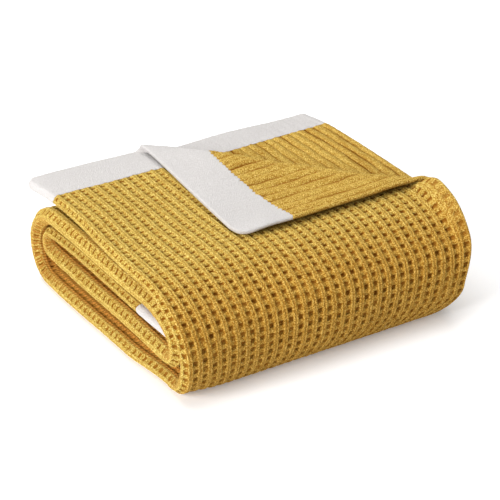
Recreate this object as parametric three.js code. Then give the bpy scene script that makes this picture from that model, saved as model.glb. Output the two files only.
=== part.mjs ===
import * as THREE from "three";

// A waffle-knit throw with a plain cream band at each end, in millimetres, +Z up.
// It is folded in three across its width (layers A, B and C) and then folded lengthwise
// into a flat spiral of five bands. One corner of the top layer is turned back.

// Driving sizes of the cloth
const CLOTH_LENGTH = 2010;
const END_BAND = 72;
const THICKNESS = 5;
const RIB_COUNT = 30;
const RIB_HEIGHT = 0.8;
const PIECE_GAP = 0.8;

// Driving sizes of the fold across the width
const LAYER_STEP = 7.2;
const FREE_EDGE_RECESS = 48;
const NOSE_START = 12;
const NOSE_REACH = 50;

// Where the two sides lie at lengths from the hem: the left nose, layer A's free edge at
// the right, and the right fold between B and C
const SIDES = [
  { length: 0, nose: 12, edge: 424, fold: 436 },
  { length: 300, nose: 3, edge: 424, fold: 434 },
  { length: 400, nose: 2, edge: 418, fold: 411 },
  { length: 460, nose: 4, edge: 411, fold: 403 },
  { length: 530, nose: 14, edge: 398, fold: 391 },
  { length: 620, nose: 4, edge: 412, fold: 405 },
  { length: 1000, nose: 3, edge: 414, fold: 407 },
  { length: 1650, nose: 5, edge: 414, fold: 407 },
  { length: 1800, nose: 9, edge: 410, fold: 403 },
  { length: CLOTH_LENGTH, nose: 9, edge: 410, fold: 403 },
];

// The levels of layer A in each band: at the left noses, further in, and layer B's
// distance from A at the left nose
const LEVELS = {
  top: { nose: 129.5, body: 129.5, spread: 8 },
  bottom: { nose: THICKNESS / 2, body: THICKNESS / 2, spread: 14 },
  second: { nose: 111, body: 102, spread: 17 },
  fourth: { nose: 38, body: 30.5, spread: 16 },
  third: { nose: 79, body: 72, spread: 9 },
};

// The turns of layer A, each from one band to the next: the y and z of the turn's tip, at
// the noses and further in, and how long the curve is in y before and after the tip
const BAND_ORDER = ["top", "bottom", "second", "fourth", "third"];
const TURNS = [
  { tipNose: -8, tipBody: -7, midNose: 58, midBody: 60, before: 106, after: 48 },
  { tipNose: 388, tipBody: 387, midNose: 52, midBody: 52, before: 50, after: 50 },
  { tipNose: 15, tipBody: 17, midNose: 63, midBody: 60, before: 76, after: 28 },
  { tipNose: 361, tipBody: 361, midNose: 59, midBody: 52, before: 21, after: 21 },
];

// The hem of the top band hangs a little over the back, and the last band inside has room
// for more than the cloth that lies in it
const HEM_Y = 405;
const HEM_DROP = 11;
const DROP_START_Y = 325;
const LAST_BAND_REACH = 330;

// The hem's left end stands a little above the rest
const HEM_RISE = { height: 9, fromX: 8, topX: 30, toX: 140, reach: 90 };

// The top layer's right front lifts where its corner is turned back
const LIFT = { height: 13, fromX: 290, toX: 424, centreY: 88, halfWidth: 95 };

// The turned-back corner, each place as x and length from the hem: the crease's two ends,
// where the corner was and where it now lies, the radius of the crease's roll, how far the
// turned part settles away from it, and how round the corner's tip is
const CORNER = {
  start: new THREE.Vector2(166, 0),
  end: new THREE.Vector2(424, 322),
  flat: new THREE.Vector2(424, 0),
  turned: new THREE.Vector2(140, 299),
  rollRadius: 5.6,
  settle: 2,
  settleOver: 60,
  tipRadius: 18,
};

// A slow unevenness of the whole stack, none at the floor
const SWAY = { height: 1.2, periodX: 190, periodY: 260 };

// Numbers of steps in the mesh
const STEPS = { roll: 4, flap: 3, flat: 3, quarter: 4, nose: 5 };
const CURVE_SAMPLES = 40;
const NUDGE = 0.01;

const COLOURS = { mustard: 0xcfa548, cream: 0xe6e1da };

const smooth = (t) => THREE.MathUtils.smoothstep(t, 0, 1);
const lerp = THREE.MathUtils.lerp;
const clamp = THREE.MathUtils.clamp;

// A value from a table of rows, read between two lengths
function tableAt(rows, column, length) {
  const above = rows.findIndex((row) => row.length >= length);
  if (above <= 0) return rows[above < 0 ? rows.length - 1 : 0][column];
  const before = rows[above - 1];
  const after = rows[above];
  const share = smooth((length - before.length) / (after.length - before.length));
  return lerp(before[column], after[column], share);
}

// How much a place belongs to the left noses: 1 at x = 0, 0 past their reach
const noseShare = (x) => 1 - smooth((x - NOSE_START) / NOSE_REACH);

function level(band, share) {
  return lerp(LEVELS[band].body, LEVELS[band].nose, share);
}

function tip(index, share) {
  const turn = TURNS[index];
  return {
    y: lerp(turn.tipBody, turn.tipNose, share),
    z: lerp(turn.midBody, turn.midNose, share),
    side: index % 2 === 0 ? 1 : -1,
  };
}

// The straight run of a band between its two turns
function bandPoint(index, fraction, share) {
  const height = level(BAND_ORDER[index], share);
  const before = index > 0 ? tip(index - 1, share) : null;
  const after = index < TURNS.length ? tip(index, share) : null;
  const startY = before ? before.y + before.side * TURNS[index - 1].after : HEM_Y;
  const endY = after ? after.y + after.side * TURNS[index].before : startY - LAST_BAND_REACH;
  const y = lerp(startY, endY, fraction);
  if (index > 0) return [y, height];
  const over = Math.max(0, y - DROP_START_Y) / (HEM_Y - DROP_START_Y);
  return [y, height - HEM_DROP * Math.pow(over, 1.7)];
}

// A turn in two quarter ellipses that meet at its tip
function turnPoint(index, half, fraction, share) {
  const turn = TURNS[index];
  const end = tip(index, share);
  const angle = (fraction * Math.PI) / 2;
  if (half === 0) {
    const back = end.side * turn.before * (1 - Math.sin(angle));
    const from = level(BAND_ORDER[index], share);
    return [end.y + back, end.z + (from - end.z) * Math.cos(angle)];
  }
  const on = end.side * turn.after * (1 - Math.cos(angle));
  const to = level(BAND_ORDER[index + 1], share);
  return [end.y + on, end.z + (to - end.z) * Math.sin(angle)];
}

// Layer A's section curve: u counts band, first half turn, second half turn, band and so on
function sectionPoint(u, share) {
  const last = 3 * TURNS.length;
  const part = Math.min(Math.floor(Math.max(u, 0)), last);
  const fraction = u - part;
  const index = Math.floor(part / 3);
  const kind = part % 3;
  return kind === 0 ? bandPoint(index, fraction, share) : turnPoint(index, kind - 1, fraction, share);
}

// The curve's length from the hem, measured away from the noses
const LENGTHS = [0];
for (let i = 1; i <= (3 * TURNS.length + 1) * CURVE_SAMPLES; i += 1) {
  const [y0, z0] = sectionPoint((i - 1) / CURVE_SAMPLES, 0);
  const [y1, z1] = sectionPoint(i / CURVE_SAMPLES - 1e-9, 0);
  LENGTHS.push(LENGTHS[i - 1] + Math.hypot(y1 - y0, z1 - z0));
}

function lengthAt(u) {
  const i = Math.min(Math.floor(u * CURVE_SAMPLES), LENGTHS.length - 2);
  return lerp(LENGTHS[i], LENGTHS[i + 1], u * CURVE_SAMPLES - i);
}

function placeAt(length) {
  if (length <= 0) return (length / LENGTHS[1]) / CURVE_SAMPLES;
  let low = 0;
  let high = LENGTHS.length - 1;
  while (high - low > 1) {
    const middle = (low + high) >> 1;
    if (LENGTHS[middle] <= length) low = middle;
    else high = middle;
  }
  return (low + (length - LENGTHS[low]) / (LENGTHS[low + 1] - LENGTHS[low])) / CURVE_SAMPLES;
}

// Layer B's distance from A at the left nose, blended from band to band through the turns
function spreadAt(u) {
  const part = Math.floor(Math.max(u, 0));
  const index = Math.min(Math.floor(part / 3), TURNS.length);
  const here = LEVELS[BAND_ORDER[index]].spread;
  if (part % 3 === 0 || index === TURNS.length) return here;
  const next = LEVELS[BAND_ORDER[index + 1]].spread;
  return lerp(here, next, smooth((u - 3 * index - 1) / 2));
}

// How far the stack's slow unevenness shows here: none along the floor
function swayAt(x, y, z) {
  const free = smooth((z - 6) / 30);
  const wave = Math.sin((x / SWAY.periodX) * 2 * Math.PI + 0.8);
  return free * SWAY.height * wave * Math.cos((y / SWAY.periodY) * 2 * Math.PI);
}

function hemRiseAt(x, length) {
  const rising = smooth((x - HEM_RISE.fromX) / (HEM_RISE.topX - HEM_RISE.fromX));
  const falling = 1 - smooth((x - HEM_RISE.topX) / (HEM_RISE.toX - HEM_RISE.topX));
  return HEM_RISE.height * rising * falling * (1 - smooth(length / HEM_RISE.reach));
}

// A point of the stack: across at x, along at length, and inward from layer A by depth
function stackPoint(x, length, depth) {
  const share = noseShare(x);
  const u = placeAt(length);
  const [y, z] = sectionPoint(u, share);
  const [yNext, zNext] = sectionPoint(u + 1e-4, share);
  const run = Math.hypot(yNext - y, zNext - z);
  const inY = -(zNext - z) / run;
  const inZ = (yNext - y) / run;
  const inward = depth - swayAt(x, y, z) - hemRiseAt(x, length);
  return new THREE.Vector3(x, y + inY * inward, z + inZ * inward);
}

// How far the top layer's right front is lifted off the layer below
function liftAt(x, length) {
  const y = HEM_Y - length;
  const across = smooth((x - LIFT.fromX) / (LIFT.toX - LIFT.fromX));
  const along = Math.max(0, 1 - Math.pow((y - LIFT.centreY) / LIFT.halfWidth, 2));
  return LIFT.height * across * along * along;
}

// The crease's direction, the direction across it towards the corner, and the way that the
// turned part runs for each millimetre of cloth beyond the roll
const creaseRun = CORNER.end.clone().sub(CORNER.start).normalize();
const creaseAcross = new THREE.Vector2(creaseRun.y, -creaseRun.x);
const cornerBeyond = CORNER.flat.clone().sub(CORNER.start).dot(creaseAcross);
const rollLength = Math.PI * CORNER.rollRadius;
const turnedRun = CORNER.flat
  .clone()
  .addScaledVector(creaseAcross, -cornerBeyond)
  .sub(CORNER.turned)
  .multiplyScalar(-1 / (cornerBeyond - rollLength));

// Rounds the tip of the corner: a square of the cloth there becomes a quarter disc
function tipRounded(x, length) {
  const radius = CORNER.tipRadius;
  const across = (x - CORNER.flat.x) / radius + 1;
  const along = 1 - length / radius;
  if (across <= 0 || along <= 0) return new THREE.Vector2(x, length);
  const roundX = across * Math.sqrt(1 - Math.min(1, along) ** 2 / 2);
  const roundLength = along * Math.sqrt(1 - Math.min(1, across) ** 2 / 2);
  return new THREE.Vector2(CORNER.flat.x + (roundX - 1) * radius, (1 - roundLength) * radius);
}

// Layer A, with its corner turned back over a roll along the crease
function topLayerPoint(x, length) {
  const place = tipRounded(x, length);
  const beyond = place.clone().sub(CORNER.start).dot(creaseAcross);
  let height = 0;
  if (beyond > 0) {
    place.addScaledVector(creaseAcross, -beyond);
    if (beyond < rollLength) {
      const angle = beyond / CORNER.rollRadius;
      place.addScaledVector(creaseAcross, CORNER.rollRadius * Math.sin(angle));
      height = CORNER.rollRadius * (1 - Math.cos(angle));
    } else {
      const run = beyond - rollLength;
      place.addScaledVector(turnedRun, run);
      height = 2 * CORNER.rollRadius - CORNER.settle * smooth(run / CORNER.settleOver);
    }
  }
  return stackPoint(place.x, place.y, -height - liftAt(place.x, place.y));
}

// The cloth's middle surface: p runs 0 to 1 along layer A from its free right edge, to 2
// round the left nose, to 3 along B, to 4 round the right fold, and to 5 along C
function clothPoint(p, length) {
  const u = placeAt(length);
  const spread = spreadAt(u);
  const noseRadius = spread / 2;
  const inset = tableAt(SIDES, "nose", length);
  const fold = tableAt(SIDES, "fold", length);
  const depthB = (x) => lerp(LAYER_STEP, spread, noseShare(x - inset));
  const noseEnd = inset + noseRadius;
  if (p <= 1) return topLayerPoint(lerp(tableAt(SIDES, "edge", length), noseEnd, p), length);
  if (p <= 2) {
    const angle = (p - 1) * Math.PI;
    const x = noseEnd - noseRadius * Math.sin(angle);
    return stackPoint(x, length, noseRadius * (1 - Math.cos(angle)));
  }
  if (p <= 3) {
    const x = lerp(noseEnd, fold, p - 2);
    return stackPoint(x, length, p === 2 ? spread : depthB(x));
  }
  if (p <= 4) {
    const angle = (p - 3) * Math.PI;
    const radius = LAYER_STEP / 2;
    const depth = LAYER_STEP + radius * (1 - Math.cos(angle));
    return stackPoint(fold + radius * Math.sin(angle), length, depth);
  }
  const x = lerp(fold, FREE_EDGE_RECESS, p - 4);
  return stackPoint(x, length, depthB(x) + LAYER_STEP);
}

// The side of the cloth that shows its waffle
function clothNormal(p, length) {
  const across = clothPoint(p + NUDGE * 0.01, length).sub(clothPoint(p - NUDGE * 0.01, length));
  const along = clothPoint(p, length + NUDGE).sub(clothPoint(p, length - NUDGE));
  return across.cross(along).normalize();
}

// Places of the columns along layer A: one at each rib's top and one at each groove
const RIB_COLUMNS = Array.from({ length: 2 * RIB_COUNT + 1 }, (_, i) => i / (2 * RIB_COUNT));
const PLAIN_COLUMNS = [0, 0.3, 0.62, 0.86, 0.93, 0.97, 1];
const NOSE_COLUMNS = Array.from({ length: STEPS.nose - 1 }, (_, i) => 1 + (i + 1) / STEPS.nose);
const INNER_COLUMNS = [2, 2.03, 2.07, 2.14, 2.4, 2.7, 3, 3.25, 3.5, 3.75, 4, 4.3, 4.65, 5];

const ribbed = [...RIB_COLUMNS, ...NOSE_COLUMNS, ...INNER_COLUMNS];
const plain = [...PLAIN_COLUMNS, ...NOSE_COLUMNS, ...INNER_COLUMNS];

// The share of a rib's height at a column: raised on ribs, sunk in grooves, and faded out
// before the floor and before the bands inside
function ribRelief(p, length) {
  if (p > 1) return 0;
  const u = placeAt(length);
  const fade = u < 4 ? clamp(3 - u, 0, 1) : clamp(u - 4, 0, 1) * clamp(6 - u, 0, 1);
  return Math.round(p * 2 * RIB_COUNT) % 2 === 0 ? -fade : fade;
}

// Rows along the crease zone between two lengths: the turned part, the roll and the rest.
// Where a column has no turned part or no roll, those rows fall together.
function creaseRows(start, end, columns) {
  const edge = tableAt(SIDES, "edge", 0);
  const slope = creaseRun.y / creaseRun.x;
  const creaseAt = (p) => (p <= 1 ? (lerp(edge, 0, p) - CORNER.start.x) * slope : start - 1);
  const rollWidth = rollLength / creaseRun.x;
  const rollRow = (p, part) => clamp(creaseAt(p) - rollWidth * part, start, end);
  const rows = [];
  for (let i = 0; i < STEPS.flap; i += 1) rows.push((p) => lerp(start, rollRow(p, 1), i / STEPS.flap));
  for (let i = 0; i <= STEPS.roll; i += 1) rows.push((p) => rollRow(p, 1 - i / STEPS.roll));
  for (let i = 1; i <= STEPS.flat; i += 1) rows.push((p) => lerp(rollRow(p, 0), end, i / STEPS.flat));
  return rows.map((at) => ({ columns, at }));
}

function straightRows(lengths, columns) {
  return lengths.map((length) => ({ columns, at: () => length }));
}

// The vertices of one face of the cloth, each made once
class Face {
  constructor(side, ribHeight) {
    this.side = side;
    this.ribHeight = ribHeight;
    this.positions = [];
    this.index = new Map();
    this.triangles = [];
  }

  vertex(p, length) {
    const key = `${p.toFixed(6)} ${length.toFixed(4)}`;
    if (!this.index.has(key)) {
      const normal = clothNormal(p, length);
      const offset = (this.side * THICKNESS) / 2 + this.ribHeight * ribRelief(p, length);
      this.index.set(key, this.positions.length);
      this.positions.push(clothPoint(p, length).addScaledVector(normal, offset));
    }
    return this.index.get(key);
  }

  triangle(a, b, c) {
    if (a === b || b === c || c === a) return;
    this.triangles.push(this.side > 0 ? [a, b, c] : [a, c, b]);
  }

  // Fills the strip between two rows, stepping along whichever is behind
  strip(rowA, rowB) {
    const a = rowA.columns.map((p) => this.vertex(p, rowA.at(p)));
    const b = rowB.columns.map((p) => this.vertex(p, rowB.at(p)));
    let i = 0;
    let j = 0;
    while (i < a.length - 1 || j < b.length - 1) {
      const nextA = i < a.length - 1 ? rowA.columns[i + 1] : Infinity;
      const nextB = j < b.length - 1 ? rowB.columns[j + 1] : Infinity;
      if (nextA <= nextB) {
        this.triangle(a[i], a[i + 1], b[j]);
        i += 1;
      } else {
        this.triangle(a[i], b[j + 1], b[j]);
        j += 1;
      }
    }
  }

  fill(rows) {
    for (let i = 1; i < rows.length; i += 1) this.strip(rows[i - 1], rows[i]);
    return this;
  }

  // The directed edges that only one triangle uses
  rim() {
    const edges = new Map();
    for (const [a, b, c] of this.triangles) {
      for (const [m, n] of [[a, b], [b, c], [c, a]]) {
        if (edges.has(`${n} ${m}`)) edges.delete(`${n} ${m}`);
        else edges.set(`${m} ${n}`, [m, n]);
      }
    }
    return [...edges.values()];
  }
}

// A closed sheet from its two faces and the strip round its rim
function sheetGeometry(waffleRows, reverseRows, ribHeight) {
  const waffle = new Face(1, ribHeight).fill(waffleRows);
  const reverse = new Face(-1, ribHeight).fill(reverseRows);
  const shift = waffle.positions.length;
  const twin = new Map();
  for (const [key, at] of waffle.index) twin.set(at, key);
  const indices = [...waffle.triangles.flat(), ...reverse.triangles.flat().map((i) => i + shift)];
  for (const [m, n] of waffle.rim()) {
    const [belowM, belowN] = [m, n].map((i) => reverse.index.get(twin.get(i)) + shift);
    const forward = parseFloat(twin.get(m)) < parseFloat(twin.get(n));
    if (forward) indices.push(m, belowM, n, n, belowM, belowN);
    else indices.push(m, belowM, belowN, m, belowN, n);
  }
  const positions = [...waffle.positions, ...reverse.positions].flatMap((point) => point.toArray());
  const geometry = new THREE.BufferGeometry();
  geometry.setAttribute("position", new THREE.Float32BufferAttribute(positions, 3));
  geometry.setIndex(indices);
  geometry.computeVertexNormals();
  return geometry;
}

function clothMesh(name, geometry, colour) {
  const material = new THREE.MeshStandardMaterial({ color: colour, roughness: 0.95, metalness: 0 });
  const mesh = new THREE.Mesh(geometry, material);
  mesh.name = name;
  return mesh;
}

// Lengths at even steps of a band or half turn
function partLengths(part, steps) {
  return Array.from({ length: steps }, (_, i) => lengthAt(part + (i + 1) / steps));
}

const creaseReach = CORNER.end.y + 12;
const fieldStart = END_BAND + PIECE_GAP;
const fieldEnd = CLOTH_LENGTH - END_BAND - PIECE_GAP;

function mustardField() {
  const outerTurn = [1, 2].flatMap((part) => partLengths(part, STEPS.quarter));
  const front = outerTurn.filter((length) => length > creaseReach + 6);
  const back = [4, 5].flatMap((part) => partLengths(part, STEPS.quarter));
  const inner = [
    ...partLengths(6, 2),
    ...partLengths(7, 3),
    ...partLengths(8, 3),
    ...partLengths(9, 2),
    ...partLengths(10, 3),
    ...partLengths(11, 3),
    lerp(lengthAt(12), fieldEnd, 0.5),
    fieldEnd,
  ];
  const zone = creaseRows(fieldStart, creaseReach, ribbed);
  const waffle = [
    ...zone,
    ...straightRows(front, ribbed),
    ...straightRows([lengthAt(3.05)], plain),
    ...straightRows([lengthAt(3.95)], plain),
    ...straightRows([lengthAt(4), ...back], ribbed),
    ...straightRows(inner, plain),
  ];
  const reverse = [
    ...zone,
    ...straightRows(front, plain),
    ...straightRows([lengthAt(3.05)], plain),
    ...straightRows([lengthAt(3.95)], plain),
    ...straightRows([lengthAt(4), ...back], plain),
    ...straightRows(inner, plain),
  ];
  return clothMesh("mustard_field", sheetGeometry(waffle, reverse, RIB_HEIGHT), COLOURS.mustard);
}

function outerEndBand() {
  const rows = creaseRows(0, END_BAND, ribbed);
  return clothMesh("outer_end_band", sheetGeometry(rows, rows, 0), COLOURS.cream);
}

function innerEndBand() {
  const rows = straightRows([fieldEnd + PIECE_GAP, CLOTH_LENGTH - END_BAND / 2, CLOTH_LENGTH], plain);
  return clothMesh("inner_end_band", sheetGeometry(rows, rows, 0), COLOURS.cream);
}

// The origin is the middle of the folded throw's box, on the floor
const throwBlanket = new THREE.Group();
throwBlanket.add(mustardField(), outerEndBand(), innerEndBand());
const box = new THREE.Box3().setFromObject(throwBlanket);
const centre = box.getCenter(new THREE.Vector3());
throwBlanket.position.set(-centre.x, -centre.y, -box.min.z);

export default throwBlanket;
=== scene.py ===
import math

import bpy
import numpy as np
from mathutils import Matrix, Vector


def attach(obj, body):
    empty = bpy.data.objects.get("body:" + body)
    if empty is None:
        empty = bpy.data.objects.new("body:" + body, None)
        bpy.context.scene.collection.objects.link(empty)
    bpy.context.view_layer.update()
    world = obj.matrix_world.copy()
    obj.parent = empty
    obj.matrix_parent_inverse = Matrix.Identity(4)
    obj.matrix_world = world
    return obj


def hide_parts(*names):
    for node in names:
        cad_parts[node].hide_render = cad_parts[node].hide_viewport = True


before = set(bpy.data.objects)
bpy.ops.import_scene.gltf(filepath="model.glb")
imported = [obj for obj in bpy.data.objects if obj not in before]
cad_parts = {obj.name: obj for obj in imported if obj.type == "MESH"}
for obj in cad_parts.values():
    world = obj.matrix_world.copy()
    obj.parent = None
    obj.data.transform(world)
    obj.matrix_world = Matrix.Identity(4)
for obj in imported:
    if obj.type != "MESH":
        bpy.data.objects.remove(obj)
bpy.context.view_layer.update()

MM = 0.001

# The camera, in the part's frame and in metres: it looks at a point on the floor from this direction
CAMERA_AZIMUTH = math.radians(-32.058)
CAMERA_ELEVATION = math.radians(28.507)
CAMERA_TARGET = Vector((0.0530, 0.0865, 0.0))
CAMERA_DISTANCE = 2.6324
CAMERA_LENS = 141.1
SENSOR_WIDTH = 36.0
CLIP_END = 50.0

# The cloth, in millimetres, from its hem at length 0. The mustard field is two pieces, which meet
# at the split. The origin is where the cloth's own x, y and z of 0 lie in the part's frame
CLOTH_LENGTH = 2010.0
END_BAND = 75.5
THICKNESS = 5.0
SPLIT_LENGTH = 650.0
ORIGIN = np.array([-221.0, -197.46, 0.0])

# The fold across the width: the step between layers away from the noses, the x of layer C's free
# edge, and where and over how far the noses' wider fold narrows
LAYER_STEP = 7.2
FREE_EDGE_RECESS = 48.0
NOSE_START = 12.0
NOSE_REACH = 50.0

# Lengths from the hem, and there the x of the left nose, of layer A's free edge and of the fold
# between B and C
SIDES = np.array([
    [0, 8, 424, 433],
    [80, 11, 424, 433],
    [300, 3, 424, 433],
    [400, 2, 422, 412],
    [460, 3, 408, 399],
    [530, 9, 363, 356],
    [620, 1, 402, 395],
    [780, -2, 408, 401],
    [930, 1, 413, 406],
    [1000, 1, 414, 407],
    [1650, 5, 414, 407],
    [1800, 9, 410, 403],
    [2010, 9, 410, 403],
], float)
SIDE_NOSE, SIDE_EDGE, SIDE_FOLD = 1, 2, 3

# Bands from the hem inward: layer A's level at the noses and further in, and how far B lies from
# A at the noses
BANDS = np.array([
    [129.5, 129.5, 8],
    [2.5, 2.5, 14],
    [111, 102, 17],
    [38, 30.5, 16],
    [79, 72, 9],
], float)

# Turns between the bands: the tip's y and z at the noses and further in, the curve's reach before
# it, and its reach after it at the noses and further in
TURNS = np.array([
    [-8, -7, 58, 60, 106, 44, 31],
    [388, 387, 52, 52, 50, 66, 66],
    [15, 17, 63, 60, 76, 28, 28],
    [361, 361, 59, 52, 21, 21, 21],
], float)
TURN_COUNT = len(TURNS)

# The hem hangs a little over the back, and its left corner is rounded
HEM_Y = 405.0
HEM_DROP = 8.0
DROP_START_Y = 325.0
DROP_POWER = 1.7
HEM_ROUND = 15.0

# How far the last band runs inside, and how far and from what length on its nose reaches forward
LAST_BAND_REACH = 330.0
LAST_NOSE_REACH = 20.0
LAST_NOSE_FROM = 1750.0
LAST_NOSE_OVER = 200.0

# Every window of four numbers below is for plateau: where it starts to rise and over how far, and
# where it starts to fall and over how far

# The hem's left end stands a little above the rest
RISE_HEIGHT = 3.0
RISE_WINDOW = (-6.0, 26.0, 20.0, 120.0)
RISE_REACH = 90.0

# The right front of the top layer lifts a little
LIFT_HEIGHT = 6.0
LIFT_FROM_X = 290.0
LIFT_OVER_X = 134.0
LIFT_Y = 88.0
LIFT_HALF = 95.0

# The far right corner of the top layer is turned over. Places are x and length from the hem: the
# crease's two ends, and where the corner was and now lies. Then the radius of the crease's roll,
# how far the turned part settles away from it, and how round the corner's tip is
CREASE_START = np.array([164.0, 0.0])
CREASE_END = np.array([424.0, 322.0])
CORNER_FLAT = np.array([424.0, 0.0])
CORNER_TURNED = np.array([145.0, 300.0])
ROLL_RADIUS = 5.6
SETTLE = 3.4
SETTLE_OVER = 50.0
TIP_RADIUS = 24.0

# Along layer A's free edge the turned corner curls up, and past the corner that edge stands up as
# a lip
CURL_HEIGHT = 5.0
CURL_WIDTH = 45.0
CURL_WINDOW = (0.0, 60.0, 230.0, 80.0)
LIP_HEIGHT = 21.0
LIP_WIDTH = 32.0
LIP_WINDOW = (286.0, 46.0, 352.0, 96.0)

# A slow unevenness of the whole stack, none at the floor
SWAY = 1.2
SWAY_X = 190.0
SWAY_Y = 260.0
SWAY_PHASE = 0.8
SWAY_FLOOR = 6.0
SWAY_OVER = 30.0

# How far the outer colour boundary is drawn along the cloth at the free edge, on layer B and at
# the fold between B and C
PULL_EDGE = 12.0
PULL_EDGE_OVER = 0.25
PULL_B = 7.5
PULL_FOLD = 9.0
PULL_FOLD_FROM = 2.5
PULL_FOLD_OVER = 0.5
PULL_WINDOW = (0.0, END_BAND, 80.0, 90.0)

# The knit: its columns across layer A, the nose, B, the fold and C, and its rows
COLUMNS = 30
NOSE_COLUMNS = 2
B_COLUMNS = 31
FOLD_COLUMNS = 1
C_COLUMNS = 24
COLUMN_STARTS = np.cumsum([0, COLUMNS, NOSE_COLUMNS, B_COLUMNS, FOLD_COLUMNS, C_COLUMNS])
ROW_PITCH = 11.3
CELL_ROWS = 180
CELL_COLUMNS = COLUMNS + 6

# A cell of the waffle side, in shares of a cell and in millimetres: ribs with a fine groove along
# the middle, crowned bars from rib to rib, and a pit between the bars
RIB_HALF = 0.265
PIT_HALF = 0.225
WALL = 0.06
CREST = 0.6
WALE_GROOVE = 0.7
WALE_WIDTH = 0.06
RIB_ROUND = 0.5
BAR_DEPTH = 1.1
BAR_CROWN = 0.5
PIT_DEPTH = 3.7

# How uneven the knit is: a cell's shift and slant either way in shares of a cell, how much of the
# pits' depth it has, a rib's height either way, and the like shares for grooves and for teeth
CELL_SHIFT = 0.045
CELL_SLANT = 0.15
CELL_DEPTHS = (0.6, 1.1)
RIB_UNEVEN = 0.18
GROOVE_DEPTHS = (0.35, 1.5)
TOOTH_LENGTHS = (0.4, 1.5)
GROOVE_COUNT = 2 * COLUMNS + 40
TOOTH_COUNT = 4 * COLUMNS + 80

# The pits lean shut except where the knit is stretched, round the front from the top band's end to
# the floor, in the section curve's u
CLOSED = 0.42
STRETCH_WINDOW = (0.85, 0.9, 3.0, 0.3)

# The waffle ends on layer B, this many columns from layer A's last
WAFFLE_REACH = 4.9
WAFFLE_FADE = 0.5

# In p, where a nose is squeezed on its inner half, earlier at a turn, and where the cloth behind
# it is sunk in the gap. Outside, a nose is squeezed from the third band on. Last, how much flatter
# the relief is where a nose is squeezed. Squeezed places get painted shade, sunk ones painted
# bounce light
SQUEEZE_FROM = 1.84
SQUEEZE_AT_TURN = 1.42
SQUEEZE_OVER = 0.16
TURN_WINDOW = (-0.3, 0.5, 1.8, 0.4)
SUNK_WINDOW = (1.92, 0.12, 2.3, 0.12)
OUTSIDE_WINDOW = (0.88, 0.05, 1.02, 0.12)
OUTSIDE_FROM = 6.0
OUTSIDE_OVER = 0.4
SQUEEZED_FLAT = 0.4

# The lip, in columns: a squeezed strip of painted shade behind a smooth rim
LIP_STRIP = (0.25, 0.2, 0.6, 0.4)
LIP_SQUEEZE = 0.4
LIP_FLAT = 0.5
LIP_RIM = 0.75
LIP_RIM_OVER = 0.2

# The ribbed side: its ribs' crown, its grooves, and how its relief fades at the crease
REVERSE_CROWN = 2.0
REVERSE_GROOVE = 1.6
GROOVE_WIDTH = 0.09
CREST_FADE = 28.0
CREST_START = 3.0
CREST_LEAST = 0.12

# A groove's depth along it: its mean, how far it varies and over what length, and how far out of
# step one groove is with the next
WOBBLE_MEAN = 0.75
WOBBLE = 0.35
WOBBLE_LENGTH = 17.0
WOBBLE_STEP = 2.1

# The end bands: a fine rib, shallow grooves, and less of both on the waffle's side
BAND_CREST = 0.3
BAND_GROOVE = 0.35
BAND_GROOVE_WIDTH = 0.1
BAND_FINE = 0.1
BAND_FRONT = 0.6

# The colour boundary's teeth, longest on the turned corner
TOOTH = 1.2
TOOTH_AT_CORNER = 3.2
CORNER_COLUMNS = 18
CORNER_COLUMNS_OVER = 4
TOOTH_REACH = 9.0

# The hem's slight scallop
SCALLOP = 0.35
SCALLOP_UNEVEN = 1.1
SCALLOP_REACH = 20.0

# How the relief fades at a colour boundary and at an edge
BOUNDARY_LEAST = 0.3
BOUNDARY_OVER = 6.0
RELIEF_OVER = 4.0

# The yarn's own unevenness and the knit's drift, with how far from an edge each is whole, and the
# share of the thickness that is left at an edge
YARN = 0.16
YARN_OVER = 2.0
DRIFT_OVER = 25.0
EDGE_LEAST = 0.28

# The heights of the drift's standing and running waves along and across the cloth, and of the
# ribbed side's own
ALONG_STANDING = 0.9
ALONG_RUNNING = 0.6
ACROSS_STANDING = 0.8
ACROSS_RUNNING = 0.4
RIBS_ALONG = 0.5
RIBS_ACROSS = 0.9

# A painted sheen: 0 where layer A is stretched round the front and 1 elsewhere on the waffle
# side, where it gives the top and noses paler, yellower colours, with this much of p past layer A
# between the two. Then the ribbed side's painted sheen
PAINTED_SHEEN_OVER = 0.3
REVERSE_PAINTED_SHEEN = 0.7

# The widths of layers A and C, for steps near their free edges, and a distance to no edge at all
A_WIDTH = 410
C_WIDTH = 355
NO_EDGE = 1e9

SEED = 7
rng = np.random.default_rng(SEED)


def smooth(t):
    t = np.clip(t, 0.0, 1.0)
    return t * t * (3.0 - 2.0 * t)


def mix(a, b, t):
    return a + (b - a) * t


def plateau(x, rise, rise_over, fall, fall_over):
    return smooth((x - rise) / rise_over) * (1.0 - smooth((x - fall) / fall_over))


def notch(distance, width):
    """1 in the middle of a groove, fading to 0 on both sides."""
    return np.exp(-((distance / width) ** 2))


def side_at(column, length):
    """A column of SIDES at a length, eased from row to row."""
    rows = SIDES[:, 0]
    i = np.clip(np.searchsorted(rows, length), 1, len(rows) - 1)
    t = smooth((length - rows[i - 1]) / (rows[i] - rows[i - 1]))
    return mix(SIDES[i - 1, column], SIDES[i, column], t)


def nose_share(x):
    """1 at the noses and 0 further in."""
    return 1.0 - smooth((x - NOSE_START) / NOSE_REACH)


def level(index, share):
    """The height of a band of layer A."""
    return mix(BANDS[index, 1], BANDS[index, 0], share)


def tip(index, share):
    """A turn's tip, and which way in y its bands lie from it."""
    y = mix(TURNS[index, 1], TURNS[index, 0], share)
    z = mix(TURNS[index, 3], TURNS[index, 2], share)
    return y, z, np.where(index % 2 == 0, 1.0, -1.0)


def reach_after(index, share):
    return mix(TURNS[index, 6], TURNS[index, 5], share)


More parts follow.
